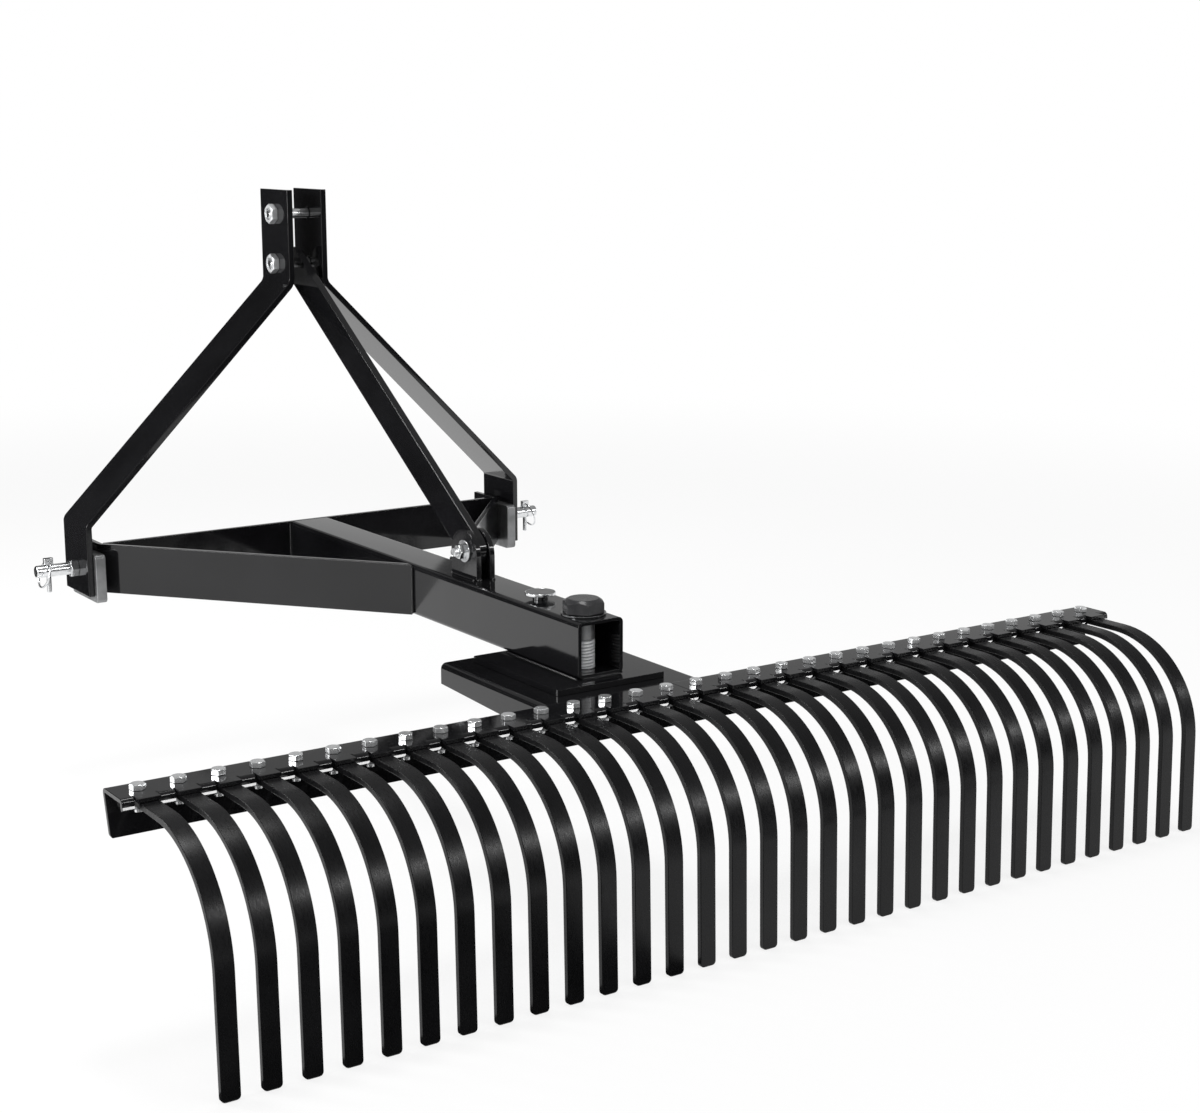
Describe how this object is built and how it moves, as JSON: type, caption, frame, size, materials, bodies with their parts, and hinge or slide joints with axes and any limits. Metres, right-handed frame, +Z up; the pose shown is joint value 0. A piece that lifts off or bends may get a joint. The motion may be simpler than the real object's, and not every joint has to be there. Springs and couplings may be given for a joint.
{
  "type": "three-point landscape rake",
  "caption": "Tractor-mounted landscape rake: an A-frame hitch and a long boom carry a swivelling beam with a row of curved flat spring tines.",
  "frame": {"origin": "halfway between the lower hitch pins, on their common axis", "axes": "+X to the right seen from behind, along the row of tines; +Y forward to the tractor; +Z up"},
  "size_m": [1.534, 1.2008, 0.8866],
  "materials": {
    "gloss_black_paint": "gloss black powder coat",
    "satin_black_tine": "satin black paint on spring steel",
    "zinc_plate": "bright zinc plate",
    "dark_bolt": "black oxide",
    "grey_steel": "plain grey steel"
  },
  "bodies": {
    "hitch_frame": {"boom": "gloss_black_paint", "index_plate": "gloss_black_paint", "pivot_bolt": "dark_bolt", "pivot_washer": "grey_steel", "pivot_nut": "dark_bolt", "yoke_cross_bar": "gloss_black_paint", "yoke_arm_left": "gloss_black_paint", "yoke_arm_right": "gloss_black_paint", "hitch_lug_left": "grey_steel", "hitch_lug_right": "grey_steel", "mast_leg_left": "gloss_black_paint", "mast_leg_right": "gloss_black_paint", "hitch_pin_left": "zinc_plate", "hitch_pin_right": "zinc_plate", "top_link_bolt": "zinc_plate", "mast_bolt": "zinc_plate", "rear_brace": "gloss_black_paint", "brace_ear_left": "gloss_black_paint", "brace_ear_right": "gloss_black_paint", "brace_bolt": "zinc_plate"},
    "rake_head": {"mount_box": "gloss_black_paint", "rake_beam_left": "gloss_black_paint", "rake_beam_right": "gloss_black_paint", "tine_01": "satin_black_tine", "tine_02": "satin_black_tine", "tine_03": "satin_black_tine", "tine_04": "satin_black_tine", "tine_05": "satin_black_tine", "tine_06": "satin_black_tine", "tine_07": "satin_black_tine", "tine_08": "satin_black_tine", "tine_09": "satin_black_tine", "tine_10": "satin_black_tine", "tine_11": "satin_black_tine", "tine_12": "satin_black_tine", "tine_13": "satin_black_tine", "tine_14": "satin_black_tine", "tine_15": "satin_black_tine", "tine_16": "satin_black_tine", "tine_17": "satin_black_tine", "tine_18": "satin_black_tine", "tine_19": "satin_black_tine", "tine_20": "satin_black_tine", "tine_21": "satin_black_tine", "tine_22": "satin_black_tine", "tine_23": "satin_black_tine", "tine_24": "satin_black_tine", "tine_25": "satin_black_tine", "tine_26": "satin_black_tine", "tine_27": "satin_black_tine", "tine_28": "satin_black_tine", "tine_29": "satin_black_tine", "tine_30": "satin_black_tine", "tine_31": "satin_black_tine", "tine_32": "satin_black_tine"},
    "index_pin": {"index_pin": "zinc_plate"},
    "linch_left": {"linch_pin_left": "zinc_plate"},
    "linch_right": {"linch_pin_right": "zinc_plate"},
    "ring_left": {"linch_ring_left": "zinc_plate"},
    "ring_right": {"linch_ring_right": "zinc_plate"}
  },
  "joints": [
    {"name": "head_swivel", "type": "hinge", "parent": "hitch_frame", "child": "rake_head", "pos_m": [0, -0.818, -0.0461], "axis": [0, 0, 1], "range_deg": [-30, 30]},
    {"name": "index_pin_lift", "type": "slide", "parent": "hitch_frame", "child": "index_pin", "axis": [0, 0, 1], "range_m": [0, 0.085]},
    {"name": "linch_pin_left_lift", "type": "slide", "parent": "hitch_frame", "child": "linch_left", "axis": [0, 0, 1], "range_m": [0, 0.01]},
    {"name": "linch_ring_left_swing", "type": "hinge", "parent": "linch_left", "child": "ring_left", "pos_m": [-0.4263, 0, 0.0148], "axis": [0, 1, 0], "range_deg": [0, 140]},
    {"name": "linch_pin_right_lift", "type": "slide", "parent": "hitch_frame", "child": "linch_right", "axis": [0, 0, 1], "range_m": [0, 0.01]},
    {"name": "linch_ring_right_swing", "type": "hinge", "parent": "linch_right", "child": "ring_right", "pos_m": [0.4263, 0, 0.0148], "axis": [0, -1, 0], "range_deg": [0, 140]}
  ]
}
